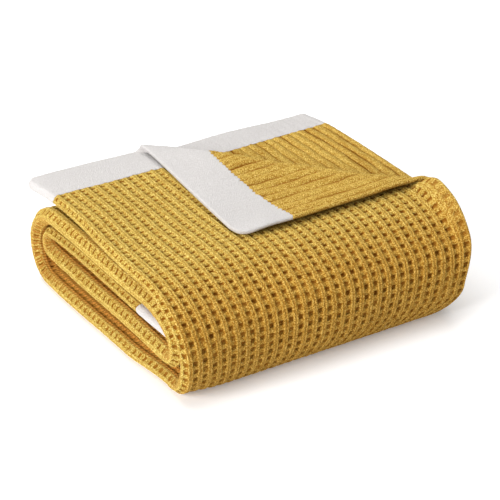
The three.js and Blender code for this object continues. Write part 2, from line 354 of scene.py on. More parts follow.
def section_point(u, share):
    """Layer A's section curve: u counts band, first half turn, second half turn, and so on."""
    part = np.clip(np.floor(u), 0, 3 * TURN_COUNT).astype(int)
    fraction = u - part
    index, kind = part // 3, part % 3
    turn = np.clip(index, 0, TURN_COUNT - 1)
    tip_y, tip_z, side = tip(turn, share)
    last = np.clip(index - 1, 0, TURN_COUNT - 1)
    last_y, _, last_side = tip(last, share)
    before, after = TURNS[turn, 4], reach_after(turn, share)

    height = level(index, share)
    start_y = np.where(index > 0, last_y + last_side * reach_after(last, share), HEM_Y)
    end_y = np.where(index < TURN_COUNT, tip_y + side * before, start_y - LAST_BAND_REACH)
    band_y = mix(start_y, end_y, fraction)
    over = np.maximum(0.0, band_y - DROP_START_Y) / (HEM_Y - DROP_START_Y)
    band_z = height - np.where(index == 0, HEM_DROP * over**DROP_POWER, 0.0)

    angle = fraction * math.pi / 2
    first_y = tip_y + side * before * (1 - np.sin(angle))
    first_z = tip_z + (height - tip_z) * np.cos(angle)
    next_height = level(np.clip(index + 1, 0, TURN_COUNT), share)
    second_y = tip_y + side * after * (1 - np.cos(angle))
    second_z = tip_z + (next_height - tip_z) * np.sin(angle)
    y = np.select([kind == 0, kind == 1], [band_y, first_y], second_y)
    z = np.select([kind == 0, kind == 1], [band_z, first_z], second_z)
    return y, z


# The section curve's length from the hem, measured away from the noses. A sample stops just short
# of the next, so that both its ends are on the same part of the curve
CURVE_SAMPLES = 40
JUST_SHORT = 1e-9
curve_u = np.arange((3 * TURN_COUNT + 1) * CURVE_SAMPLES + 1) / CURVE_SAMPLES
start_y, start_z = section_point(curve_u[:-1], np.zeros(len(curve_u) - 1))
stop_y, stop_z = section_point(curve_u[1:] - JUST_SHORT, np.zeros(len(curve_u) - 1))
curve_length = np.concatenate([[0.0], np.cumsum(np.hypot(stop_y - start_y, stop_z - start_z))])


def place_at(length):
    """The section curve's u at a length from the hem."""
    below = length / curve_length[1] / CURVE_SAMPLES
    return np.where(length <= 0, below, np.interp(length, curve_length, curve_u))


def length_at(u):
    """The length from the hem at the section curve's u."""
    return float(np.interp(u, curve_u, curve_length))


def spread_at(u):
    """How far layer B lies from A at the noses."""
    part = np.floor(np.maximum(u, 0)).astype(int)
    index = np.minimum(part // 3, TURN_COUNT)
    here = BANDS[index, 2]
    after = BANDS[np.minimum(index + 1, TURN_COUNT), 2]
    turning = (part % 3 != 0) & (index < TURN_COUNT)
    return np.where(turning, mix(here, after, smooth((u - 3 * index - 1) / 2)), here)


def sway_at(x, y, z):
    wave = np.sin(x / SWAY_X * 2 * math.pi + SWAY_PHASE) * np.cos(y / SWAY_Y * 2 * math.pi)
    return smooth((z - SWAY_FLOOR) / SWAY_OVER) * SWAY * wave


def hem_rise_at(x, length):
    return RISE_HEIGHT * plateau(x, *RISE_WINDOW) * (1 - smooth(length / RISE_REACH))


def stack_point(x, length, depth):
    """A point this deep under layer A's middle surface, measured square to the section curve."""
    share = nose_share(x)
    u = place_at(length)
    y, z = section_point(u, share)
    next_y, next_z = section_point(u + 1e-4, share)
    run = np.hypot(next_y - y, next_z - z)
    inward = depth - sway_at(x, y, z) - hem_rise_at(x, length)
    forward = LAST_NOSE_REACH * share * smooth((length - LAST_NOSE_FROM) / LAST_NOSE_OVER)
    point_y = y - (next_z - z) / run * inward - forward
    return np.stack([x, point_y, z + (next_y - y) / run * inward], axis=-1)


crease_run = (CREASE_END - CREASE_START) / np.linalg.norm(CREASE_END - CREASE_START)
crease_across = np.array([crease_run[1], -crease_run[0]])
roll_length = math.pi * ROLL_RADIUS
corner_beyond = float((CORNER_FLAT - CREASE_START) @ crease_across)
crease_foot = CORNER_FLAT - crease_across * corner_beyond
turned_run = (CORNER_TURNED - crease_foot) / (corner_beyond - roll_length)


def beyond_crease(x, length):
    """How far past the crease a place of the flat cloth lies."""
    return (x - CREASE_START[0]) * crease_across[0] + (length - CREASE_START[1]) * crease_across[1]


def tip_rounded(x, length):
    """Rounds the tip of the corner: a square of the cloth there becomes a quarter disc."""
    across = (x - CORNER_FLAT[0]) / TIP_RADIUS + 1
    along = 1 - length / TIP_RADIUS
    near = (across > 0) & (along > 0)
    round_across = across * np.sqrt(1 - np.clip(along, 0, 1) ** 2 / 2)
    round_along = along * np.sqrt(1 - np.clip(across, 0, 1) ** 2 / 2)
    round_x = CORNER_FLAT[0] + (round_across - 1) * TIP_RADIUS
    return np.where(near, round_x, x), np.where(near, (1 - round_along) * TIP_RADIUS, length)


def lip_share(length):
    """How much of the lip stands along layer A's free edge, past the turned corner."""
    return plateau(length, *LIP_WINDOW)


def top_layer_point(x, length):
    """Layer A: past the crease the cloth runs round the roll and then over what lies flat."""
    x, length = tip_rounded(x, length)
    beyond = beyond_crease(x, length)
    over = np.maximum(beyond, 0.0)
    rolled = np.minimum(over, roll_length)
    angle = rolled / ROLL_RADIUS
    run = np.maximum(over - roll_length, 0.0)
    reach = ROLL_RADIUS * np.sin(angle) - over
    new_x = x + crease_across[0] * reach + turned_run[0] * run
    new_length = length + crease_across[1] * reach + turned_run[1] * run
    height = ROLL_RADIUS * (1 - np.cos(angle)) - SETTLE * smooth(run / SETTLE_OVER)
    across = smooth((new_x - LIFT_FROM_X) / LIFT_OVER_X)
    along = np.maximum(0.0, 1 - ((HEM_Y - new_length - LIFT_Y) / LIFT_HALF) ** 2)
    from_edge = x - CORNER_FLAT[0]
    lip = LIP_HEIGHT * lip_share(length) * smooth((from_edge + LIP_WIDTH) / LIP_WIDTH)
    curl = CURL_HEIGHT * plateau(length, *CURL_WINDOW) * smooth((from_edge + CURL_WIDTH) / CURL_WIDTH)
    return stack_point(new_x, new_length, -height - lip - curl - LIFT_HEIGHT * across * along**2)


def cloth_point(p, length):
    """The middle surface.

    p runs from 0 to 1 along A, to 2 round the nose, to 3 along B, to 4 round the right fold and
    to 5 along C.
    """
    spread = spread_at(place_at(length))
    radius = spread / 2
    at_hem = np.clip(1 - length / HEM_ROUND, 0, 1)
    inset = side_at(SIDE_NOSE, length) + HEM_ROUND * (1 - np.sqrt(1 - at_hem**2))
    fold = side_at(SIDE_FOLD, length)
    nose_end = inset + radius
    fold_radius = LAYER_STEP / 2
    out = np.empty(p.shape + (3,))

    def depth_b(x, at):
        return mix(LAYER_STEP, spread[at], nose_share(x - inset[at]))

    at = p <= 1
    edge = side_at(SIDE_EDGE, length[at])
    out[at] = top_layer_point(mix(edge, nose_end[at], p[at]), length[at])
    at = (p > 1) & (p <= 2)
    angle = (p[at] - 1) * math.pi
    x = nose_end[at] - radius[at] * np.sin(angle)
    out[at] = stack_point(x, length[at], radius[at] * (1 - np.cos(angle)))
    at = (p > 2) & (p <= 3)
    x = mix(nose_end[at], fold[at], p[at] - 2)
    out[at] = stack_point(x, length[at], depth_b(x, at))
    at = (p > 3) & (p <= 4)
    angle = (p[at] - 3) * math.pi
    x = fold[at] + fold_radius * np.sin(angle)
    out[at] = stack_point(x, length[at], LAYER_STEP + fold_radius * (1 - np.cos(angle)))
    at = p > 4
    x = mix(fold[at], FREE_EDGE_RECESS, p[at] - 4)
    out[at] = stack_point(x, length[at], depth_b(x, at) + LAYER_STEP)
    return out


def cloth_normal(p, length):
    step_p, step_l = 1e-4, 0.01
    across = cloth_point(p + step_p, length) - cloth_point(p - step_p, length)
    along = cloth_point(p, length + step_l) - cloth_point(p, length - step_l)
    normal = np.cross(across, along)
    return normal / np.linalg.norm(normal, axis=-1, keepdims=True)


# The knit's cells are uneven in place, slant and depth, and its ribs, grooves and teeth in size
CELLS = (CELL_COLUMNS, CELL_ROWS)
cell_shift = rng.uniform(-CELL_SHIFT, CELL_SHIFT, CELLS)
cell_slant = rng.uniform(-CELL_SLANT, CELL_SLANT, CELLS)
cell_depth = rng.uniform(*CELL_DEPTHS, CELLS)
rib_height = rng.uniform(-RIB_UNEVEN, RIB_UNEVEN, CELL_COLUMNS + 1)
groove_depth = rng.uniform(*GROOVE_DEPTHS, GROOVE_COUNT)
tooth_length = rng.uniform(*TOOTH_LENGTHS, TOOTH_COUNT)


def pick(values, place):
    """The value at the whole number nearest to a place."""
    return values[np.clip(np.rint(place).astype(int), 0, len(values) - 1)]


def columns_at(p):
    """The knit's column coordinate: whole numbers lie on ribs."""
    return np.interp(p, np.arange(6), COLUMN_STARTS)


def stretched_at(length):
    """1 where the knit is stretched round the front, and 0 where it lies closed."""
    return plateau(place_at(length), *STRETCH_WINDOW)


def squeezed_at(p, length):
    """1 on the inner half of a fold's nose and where a nose faces the gap outside it. These places
    get painted shade and flatter relief.
    """
    u = place_at(length)
    turn = u - 3 * np.floor(u / 3) - 1
    start = mix(SQUEEZE_FROM, SQUEEZE_AT_TURN, plateau(turn, *TURN_WINDOW))
    inner = plateau(p, start, SQUEEZE_OVER, *SUNK_WINDOW[2:])
    outer = plateau(p, *OUTSIDE_WINDOW) * smooth((u - OUTSIDE_FROM) / OUTSIDE_OVER)
    lip = LIP_SQUEEZE * lip_share(length) * plateau(columns_at(p), *LIP_STRIP)
    return np.maximum(np.maximum(inner, outer), lip)


def sunk_at(p):
    """1 where the cloth goes on from a nose into the gap behind it, which gets painted bounce light.
    """
    return plateau(p, *SUNK_WINDOW)


def waffle(p, length):
    """The waffle side's relief, how deep each cell is, and how far its pit is off its place."""
    c = columns_at(p)
    r = (length - END_BAND) / ROW_PITCH
    rim = 1 - smooth((c - LIP_RIM) / LIP_RIM_OVER)
    show = np.clip((COLUMNS + WAFFLE_REACH - c) / WAFFLE_FADE, 0, 1)
    show = show * (1 - SQUEEZED_FLAT * squeezed_at(p, length))
    show = show * (1 - LIP_FLAT * lip_share(length) * rim)
    i = np.clip(np.floor(c).astype(int), 0, CELL_COLUMNS - 1)
    j = np.clip(np.floor(r).astype(int), 0, CELL_ROWS - 1)
    fc = c - np.floor(c)
    fr = r - np.floor(r)
    to_rib = np.minimum(fc, 1 - fc)
    to_bar = np.minimum(fr, 1 - fr)
    in_column = smooth((to_rib - RIB_HALF) / WALL + 0.5)
    in_pit = smooth((to_bar - 0.5 + PIT_HALF) / WALL + 0.5) * in_column
    round_rib = RIB_ROUND * (to_rib / RIB_HALF) ** 2 * (1 - in_column)
    crest = CREST + pick(rib_height, c)
    bar = BAR_DEPTH + BAR_CROWN * np.minimum(to_bar / (0.5 - PIT_HALF), 1) ** 2
    height = crest - WALE_GROOVE * notch(to_rib, WALE_WIDTH) - round_rib - bar * in_column
    height = height - (PIT_DEPTH * cell_depth[i, j] - bar) * in_pit
    off = cell_shift[i, j] + cell_slant[i, j] * (fc - 0.5)
    off = off + CLOSED * (1 - stretched_at(length)) * (0.5 - fr)
    off = ROW_PITCH * off * smooth(to_rib / RIB_HALF) * smooth(to_bar / (0.5 - PIT_HALF))
    return height * show, cell_depth[i, j] * show, off


def reverse(p, length):
    """The ribbed side's relief, and how much painted shade its grooves get."""
    c = columns_at(p) + 0.5
    to_groove = np.abs(c - np.rint(c))
    groove = np.clip(np.rint(c).astype(int), 0, len(groove_depth) - 1)
    wave = np.sin(length / WOBBLE_LENGTH + WOBBLE_STEP * groove)
    wobble = groove_depth[groove] * (WOBBLE_MEAN + WOBBLE * wave)
    crown = REVERSE_CROWN * (0.5 - (1 - 2 * to_groove) ** 2)
    height = crown - REVERSE_GROOVE * notch(to_groove, GROOVE_WIDTH) * wobble
    nose, edge, fold = (side_at(column, length) for column in (SIDE_NOSE, SIDE_EDGE, SIDE_FOLD))
    x = np.where(p <= 1, mix(edge, nose, p), mix(nose, fold, p - 2))
    from_crease = np.where(p <= 3, beyond_crease(x, length), NO_EDGE)
    faded = mix(CREST_LEAST, 1.0, smooth((from_crease - CREST_START) / CREST_FADE))
    return height * faded, wobble * faded


def band_relief(p, side):
    """The end bands' relief: three fine ribs for each column, and its grooves."""
    c = columns_at(p) + (0.5 if side < 0 else 0.0)
    fine = BAND_FINE * np.cos(2 * math.pi * c * 3)
    relief = BAND_CREST - BAND_GROOVE * notch(np.abs(c - np.rint(c)), BAND_GROOVE_WIDTH) + fine
    return relief * BAND_FRONT if side > 0 else relief


def floor_fade(length):
    """1 where the waffle side's crests may stand proud, and 0 where it lies on the floor."""
    u = place_at(length)
    return np.where(u < 4, np.clip(3 - u, 0, 1), np.clip(u - 4, 0, 1))


def to_boundary(length):
    """The distance to the nearer colour boundary."""
    return np.minimum(np.abs(length - END_BAND), np.abs(length - CLOTH_LENGTH + END_BAND))


def tooth(c):
    """The mustard reaches into the cream at each rib, furthest on the turned corner."""
    size = mix(TOOTH_AT_CORNER, TOOTH, smooth((c - CORNER_COLUMNS) / CORNER_COLUMNS_OVER))
    reach = pick(tooth_length, 2 * c)
    return -size * (reach * (1 - 2 * np.abs(2 * c - np.rint(2 * c))) - 0.5)


def edge_taper(distance):
    """The cloth's thickness near a free edge, as a share of what it is further in."""
    over = np.clip(distance / (THICKNESS / 2), 0, 1)
    return EDGE_LEAST + (1 - EDGE_LEAST) * np.sqrt(1 - (1 - over) ** 2)


def drift(p, length):
    """How far the knit wanders across and along the cloth, in waves of unlike lengths."""
    along = ALONG_STANDING * np.sin(p * 9.1 + 1.3) * np.sin(length / 83)
    along = along + ALONG_RUNNING * np.sin(p * 23 + length / 41)
    across = ACROSS_STANDING * np.sin(length / 47 + 0.5) * np.sin(p * 5.3 + 2)
    across = across + ACROSS_RUNNING * np.sin(length / 19 + p * 3)
    return across, along


def ribbed_drift(c, length):
    """How far the ribbed side's columns wander as well, each in its own way."""
    across = RIBS_ACROSS * np.sin(length / 21 + 1.3 * c) * np.sin(length / 9.7 - 0.6 * c)
    return across, RIBS_ALONG * np.sin(c * 2.3)


def pulled_at(p, length):
    """How far the knit near the outer colour boundary is drawn along the cloth."""
    pulled = PULL_EDGE * (1 - smooth(p / PULL_EDGE_OVER)) - PULL_B * smooth((p - 1) / 2) * (p < 4)
    at_fold = np.clip((p - PULL_FOLD_FROM) / PULL_FOLD_OVER, 0, 1)
    pulled = pulled - PULL_FOLD * at_fold * (p < 4)
    return pulled * plateau(length, *PULL_WINDOW)


def surface(p, length, side, kind):
    """Points of one face, with what the material needs to know of each."""
    hem = np.minimum(length, CLOTH_LENGTH - length) if kind == "band" else NO_EDGE
    edge = np.minimum(p * A_WIDTH, (5 - p) * C_WIDTH)
    free = np.minimum(np.maximum(edge, 0), np.maximum(hem, 0))
    inner = smooth(free / DRIFT_OVER) * smooth(np.abs(edge) / DRIFT_OVER)
    across, along = drift(p, length)
    cell = np.zeros(p.shape)
    groove = np.zeros(p.shape)
    c = columns_at(p)
    if kind == "band":
        relief = band_relief(p, side)
    elif side > 0:
        relief, cell, off = waffle(p, length)
        relief = relief - np.maximum(0, relief) * (1 - floor_fade(length))
        along = along + off
    else:
        relief, groove = reverse(p, length)
        ribs_across, ribs_along = ribbed_drift(c, length)
        across = across + ribs_across
        along = along + ribs_along
    if kind == "field":
        relief = relief * mix(BOUNDARY_LEAST, 1.0, smooth(to_boundary(length) / BOUNDARY_OVER))
    relief = relief * smooth(free / RELIEF_OVER)
    relief = relief + rng.normal(0, YARN, p.shape) * smooth(free / YARN_OVER)
    warped_p = p + across * inner / A_WIDTH
    warped_length = length + along * inner + pulled_at(p, length)
    points = cloth_point(warped_p, warped_length)
    normal = cloth_normal(warped_p, warped_length)
    offset = side * (THICKNESS / 2 + relief) * edge_taper(free)
    # The squeezed folds get painted shade and the sunk gaps painted orange bounce light
    fold_shade_and_gap_glow = (squeezed_at(p, length) + sunk_at(p)) * (side > 0)
    # Painted sheen: 1 gives the top and noses paler, yellower colours, 0 leaves the stretched front
    # without it
    painted_sheen = 1 - stretched_at(length) * (1 - smooth((p - 1) / PAINTED_SHEEN_OVER))
    painted_sheen = painted_sheen if side > 0 else np.full(p.shape, REVERSE_PAINTED_SHEEN)
    knit = np.stack([c, (length - END_BAND) / ROW_PITCH, fold_shade_and_gap_glow], axis=-1)
    shade = np.stack([cell, groove, painted_sheen], axis=-1)
    return points + normal * offset[..., None], knit, shade


def bent_rows(p, length, kind):
    """Bends the rows into a tooth for each column at a colour boundary, and a scallop at a hem."""
    c = columns_at(p)
    bent = tooth(c) * np.clip(1 - to_boundary(length) / TOOTH_REACH, 0, 1)
    if kind == "band":
        at_hem = np.clip(1 - np.minimum(length, CLOTH_LENGTH - length) / SCALLOP_REACH, 0, 1)
        inward = np.where(length < CLOTH_LENGTH / 2, 1.0, -1.0)
        wave = np.sin(2 * math.pi * c + SCALLOP_UNEVEN * np.sin(c))
        bent = bent + SCALLOP * (1 + wave) * at_hem * inward
    return length + bent


class Cloth:
    """Gathers the faces of a closed sheet. Its kind is field or band."""

    def __init__(self, kind):
        self.kind = kind
        self.points = []
        self.knit = []
        self.shade = []
        self.faces = []
        self.count = 0

    def grid(self, columns, rows, side):
        """Adds a block of vertices and returns their numbers, one row for each length."""
        p, length = np.meshgrid(columns, rows)
        length = bent_rows(p, length, self.kind)
        points, knit, shade = surface(p, length, side, self.kind)
        numbers = self.count + np.arange(p.size).reshape(p.shape)
        self.points.append(points.reshape(-1, 3))
        self.knit.append(knit.reshape(-1, 3))
        self.shade.append(shade.reshape(-1, 3))
        self.count += p.size
        return numbers

    def quads(self, numbers, side):
        """Fills a block of vertices with quads, turned outward on either side of the cloth."""
        a, b = numbers[:-1, :-1].ravel(), numbers[:-1, 1:].ravel()
        c, d = numbers[1:, 1:].ravel(), numbers[1:, :-1].ravel()
        order = (a, b, c, d) if side > 0 else (a, d, c, b)
        self.faces.extend(np.stack(order, axis=-1).tolist())

    def zip(self, first, first_at, second, second_at, side):
        """Fills between two chains of vertices, each stepping on where it is behind."""
        i = j = 0
        while i < len(first) - 1 or j < len(second) - 1:
            next_i = first_at[i + 1] if i < len(first) - 1 else math.inf
            next_j = second_at[j + 1] if j < len(second) - 1 else math.inf
            if next_i <= next_j:
                face = [first[i], first[i + 1], second[j]]
                i += 1
            else:
                face = [first[i], second[j + 1], second[j]]
                j += 1
            face = [int(n) for n in face]
            self.faces.append(face if side > 0 else face[::-1])

    def face(self, blocks, side):
        """One face of the cloth from blocks of columns and rows. Returns its four rims."""
        first = last = None
        left = []
        right = []
        rim_at = []
        for columns, rows in blocks:
            numbers = self.grid(columns, rows, side)
            self.quads(numbers, side)
            if last is not None:
                self.zip(last[0], last[1], numbers[0], columns, side)
            else:
                first = (numbers[0], columns)
            last = (numbers[-1], columns)
            left.extend(numbers[:, 0])
            right.extend(numbers[:, -1])
            rim_at.extend(rows)
        return first, last, (left, rim_at), (right, rim_at)

    def close(self, waffle_rims, reverse_rims):
        """Joins the two faces along the first, last, left and right rims."""
        for front, back, side in zip(waffle_rims, reverse_rims, (-1, 1, 1, -1)):
            self.zip(front[0], front[1], back[0], back[1], side)

    def build(self, name, material):
        """Makes the mesh and its object."""
        points = (np.concatenate(self.points) + ORIGIN) * MM
        mesh = bpy.data.meshes.new(name)
        mesh.from_pydata(points.tolist(), [], self.faces)
        for title, values in (("knit", self.knit), ("shade", self.shade)):
            layer = mesh.attributes.new(title, "FLOAT_VECTOR", "POINT")
            layer.data.foreach_set("vector", np.concatenate(values).astype(np.float32).ravel())
        mesh.polygons.foreach_set("use_smooth", [True] * len(mesh.polygons))
        mesh.materials.append(material)
        mesh.update()
        piece = bpy.data.objects.new(name, mesh)
        bpy.context.scene.collection.objects.link(piece)
        return piece


def cell_places(start, stop, offsets):
    """Places at the same offsets in every cell of the knit, counted in cells."""
    return np.array([i + offset for i in range(start, stop) for offset in offsets])


def merged(*parts):
    """All the parts' places in order, without those that lie on one another."""
    joined = np.unique(np.round(np.concatenate([np.atleast_1d(part) for part in parts]), 6))
    keep = np.concatenate([[True], np.diff(joined) > 1e-4])
    return joined[keep]


# Where the mesh has columns, in shares of a cell and then in p
FINE_CELL = (0, 0.12, 0.235, 0.295, 0.705, 0.765, 0.88)
COARSE_CELL = (0, 0.235, 0.295, 0.705, 0.765)
NOSE_CELL = (0, 0.12, 0.235, 0.295, 0.5, 0.705, 0.765, 0.88)
RIB_CELL = (0, 0.16, 0.34, 0.42, 0.5, 0.58, 0.66, 0.84)

EDGE_STEPS = np.array([0.0, 0.6, 1.5, 2.8]) / A_WIDTH
A_FINE = cell_places(0, COLUMNS, FINE_CELL) / COLUMNS
A_COARSE = cell_places(0, COLUMNS, COARSE_CELL) / COLUMNS
A_PLAIN = np.array([0, 0.25, 0.5, 0.75, 0.9])
A_NOSE = cell_places(COLUMNS - 2, COLUMNS, FINE_CELL) / COLUMNS
A_RIBS = np.append(cell_places(0, 20, RIB_CELL), [20, 24, 28.5]) / COLUMNS
NOSE = 1 + cell_places(0, NOSE_COLUMNS, NOSE_CELL) / NOSE_COLUMNS
B_NEAR = 2 + cell_places(0, 3, FINE_CELL) / B_COLUMNS
B_PLAIN = 2 + np.array([0.14, 0.25, 0.45, 0.65, 0.85])
B_RIBS = 2 + np.append([0.16, 0.32], cell_places(11, B_COLUMNS, RIB_CELL) / B_COLUMNS)
FOLD_PLAIN = np.array([2.95, 3, 3.2, 3.4, 3.6, 3.8, 4, 4.05])
FOLD_RIBS = 3 + np.arange(0, 13) / 12
C_PLAIN = np.array([4.3, 4.6, 4.8, 4.95])
END_STEPS = 5 - np.array([2.8, 1.5, 0.6, 0.0]) / C_WIDTH

RIGHT = (FOLD_PLAIN, C_PLAIN, END_STEPS)
FULL = merged(EDGE_STEPS, A_FINE, NOSE, B_NEAR, B_PLAIN, *RIGHT)
UNDER = merged(EDGE_STEPS, A_COARSE, NOSE, B_NEAR, B_PLAIN, *RIGHT)
INSIDE = merged(EDGE_STEPS, A_PLAIN, A_NOSE, NOSE, B_NEAR, B_PLAIN, *RIGHT)
RIBBED = merged(EDGE_STEPS, A_RIBS, NOSE, B_RIBS, FOLD_RIBS, C_PLAIN, END_STEPS)
BACKED = merged(EDGE_STEPS, A_PLAIN, NOSE, B_PLAIN, [2.93, 2.97], FOLD_RIBS, C_PLAIN, END_STEPS)

# Blocks of the mesh by length: from, to, columns, and rows as offsets in a cell or evenly spaced.
# The waffle side lies on the floor in its second block
ROW_CELL = (0, 0.245, 0.305, 0.695, 0.755)
ROW_COARSE = (0, 0.28, 0.72)
FLOOR_FROM = length_at(3.0)
FLOOR_TO = length_at(4.0)
WAFFLE_PLAN = (
    (0, FLOOR_FROM, FULL, ROW_CELL),
    (FLOOR_FROM, FLOOR_TO, UNDER, ROW_COARSE),
    (FLOOR_TO, length_at(6.0), FULL, ROW_CELL),
    (length_at(6.0), CLOTH_LENGTH, INSIDE, ROW_CELL),
)
REVERSE_PLAN = (
    (0, 345, RIBBED, 3.4),
    (345, 420, RIBBED, 8),
    (420, CLOTH_LENGTH, BACKED, 7),
)
BLOCK_GAP = 2.0
BLOCK_LEAST = 4.0
ROW_CLEAR = 0.6

# Rows of an end band: close together at its hem and its boundary, and even between
BAND_NEAR = np.array([0.0, 0.6, 1.5, 2.8, 5.0])
BAND_INNER = 8.0
BAND_ROWS = 18


def cell_rows(start, stop, offsets):
    """Rows at the same offsets in every cell between two lengths, and both ends."""
    first = math.floor((start - END_BAND) / ROW_PITCH) - 1
    last = math.ceil((stop - END_BAND) / ROW_PITCH) + 1
    rows = END_BAND + cell_places(first, last, offsets) * ROW_PITCH
    rows = rows[(rows > start + ROW_CLEAR) & (rows < stop - ROW_CLEAR)]
    return np.array([start, *rows, stop])


def planned_blocks(plan, start, stop):
    """A plan's blocks between two lengths, a little apart where the columns change."""
    blocks = []
    for low, high, columns, spacing in plan:
        low = start if low <= start else low + BLOCK_GAP
        high = min(high, stop)
        if low >= high - BLOCK_LEAST:
            continue
        if isinstance(spacing, tuple):
            rows = cell_rows(low, high, spacing)
        else:
            rows = np.linspace(low, high, max(2, round((high - low) / spacing)))
        blocks.append((columns, rows))
    return blocks


def field_piece(name, start, stop, material):
    cloth = Cloth("field")
    front = cloth.face(planned_blocks(WAFFLE_PLAN, start, stop), 1)
    back = cloth.face(planned_blocks(REVERSE_PLAN, start, stop), -1)
    cloth.close(front, back)
    return cloth.build(name, material)


def band_piece(name, start, stop, columns, material):
    cloth = Cloth("band")
    inner = np.linspace(start + BAND_INNER, stop - BAND_INNER, BAND_ROWS)
    rows = np.concatenate([start + BAND_NEAR, inner, stop - BAND_NEAR[::-1]])
    blocks = [(columns, rows)]
    cloth.close(cloth.face(blocks, 1), cloth.face(blocks, -1))
    return cloth.build(name, material)


# The material's noises: scale, detail and roughness. Then how ragged the first makes pits' rims
TUFT_NOISE = (300, 3, 0.75)
SPECK_NOISE = (620, 2, 0.7)
RAGGED = 0.10

# In shares of a cell, where a pit, a groove of the ribbed side and a rib's fine groove get painted
# shade, and how much. The lower part of a pit gets painted light where the knit is stretched
PIT_SIDES = (0.23, 0.28)
PIT_ENDS = (0.265, 0.215)
PIT_FIRM = 1.45
PIT_DARK = 0.95
PIT_FLOOR = (0.4, 0.68)
PIT_FLOOR_LIT = 0.5
SLIT_SIDES = (0.35, 0.48)
SEAM_SIDES = (0.08, 0.02)
SEAM_DARK = 0.45

# Chevrons along each wale: where their points lie, how steep they are and how many to a cell
CHEVRON_POINT = 0.14
CHEVRON_SLOPE = 4.5
CHEVRONS = 3.0
CHEVRON_RAGGED = 0.6

# What each thing adds to the pile's tone, pits and grooves as painted shade, and from what tone its
# tips and roots show
TUFT_TONE = 0.9
SPECK_TONE = 3.4
WAVE_TONE = 0.07
PIT_TONE = -0.1
GROOVE_TONE = -0.14
TIP_TONES = (0.0, 0.35)
ROOT_TONES = (0.0, -0.45)

# Strokes of painted shade in the squeezed folds: how many to a cell, how ragged, between what
# heights of a sine they set in, and how strong they are at the least and how much more at the most
STROKES = 2
STROKE_RAGGED = 1.2
STROKE_EDGES = (-0.3, 0.7)
STROKE_LEAST = 0.1
STROKE_MORE = 0.72

# The surface: its shine, and the heights of its finest relief
ROUGHNESS = 0.92
SPECULAR = 0.2
SHEEN_ROUGHNESS = 0.3
WAVE_HEIGHT = 0.07
SPECK_HEIGHT = 1.1
SEAM_HEIGHT = -0.3
BUMP_DISTANCE = 0.0015

# The places of the material's nodes in its editor
NODE_COLUMNS = 12
NODE_FIRST = (-2600, 600)
NODE_STEP = (220, -200)


